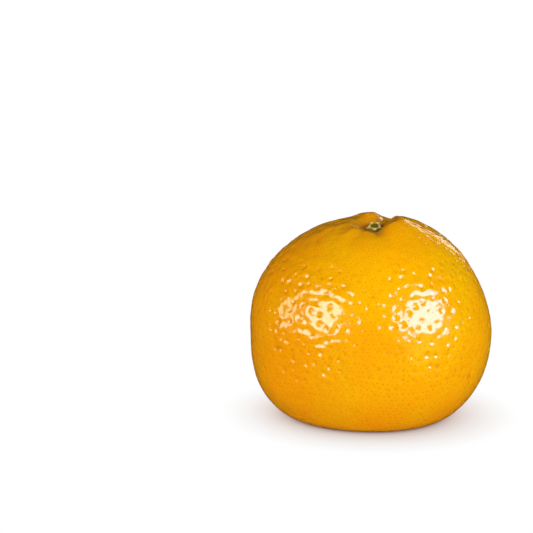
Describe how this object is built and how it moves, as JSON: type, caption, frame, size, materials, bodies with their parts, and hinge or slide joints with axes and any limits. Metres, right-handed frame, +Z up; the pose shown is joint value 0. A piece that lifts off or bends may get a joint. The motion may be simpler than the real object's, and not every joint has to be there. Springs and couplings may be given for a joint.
{
  "type": "mandarin",
  "caption": "Whole ripe mandarin with glossy dimpled orange peel, a furrowed stem basin, a green calyx and a cut stem, resting on its flat base.",
  "frame": {"origin": "in the plane that the fruit rests on, under the middle of its outline", "axes": "+Z up, roughly along the growth axis from the base to the stem end; the stem end leans a little towards -Y, the front; +X is to the right as seen from the front"},
  "size_m": [0.0654, 0.065, 0.0547],
  "materials": {
    "peel": "glossy waxed citrus peel, pitted with oil glands",
    "calyx": "dull green dried sepals",
    "stem": "rough cut green wood"
  },
  "bodies": {
    "root": {"fruit": "peel", "calyx": "calyx", "stem_stub": "stem"}
  },
  "joints": []
}
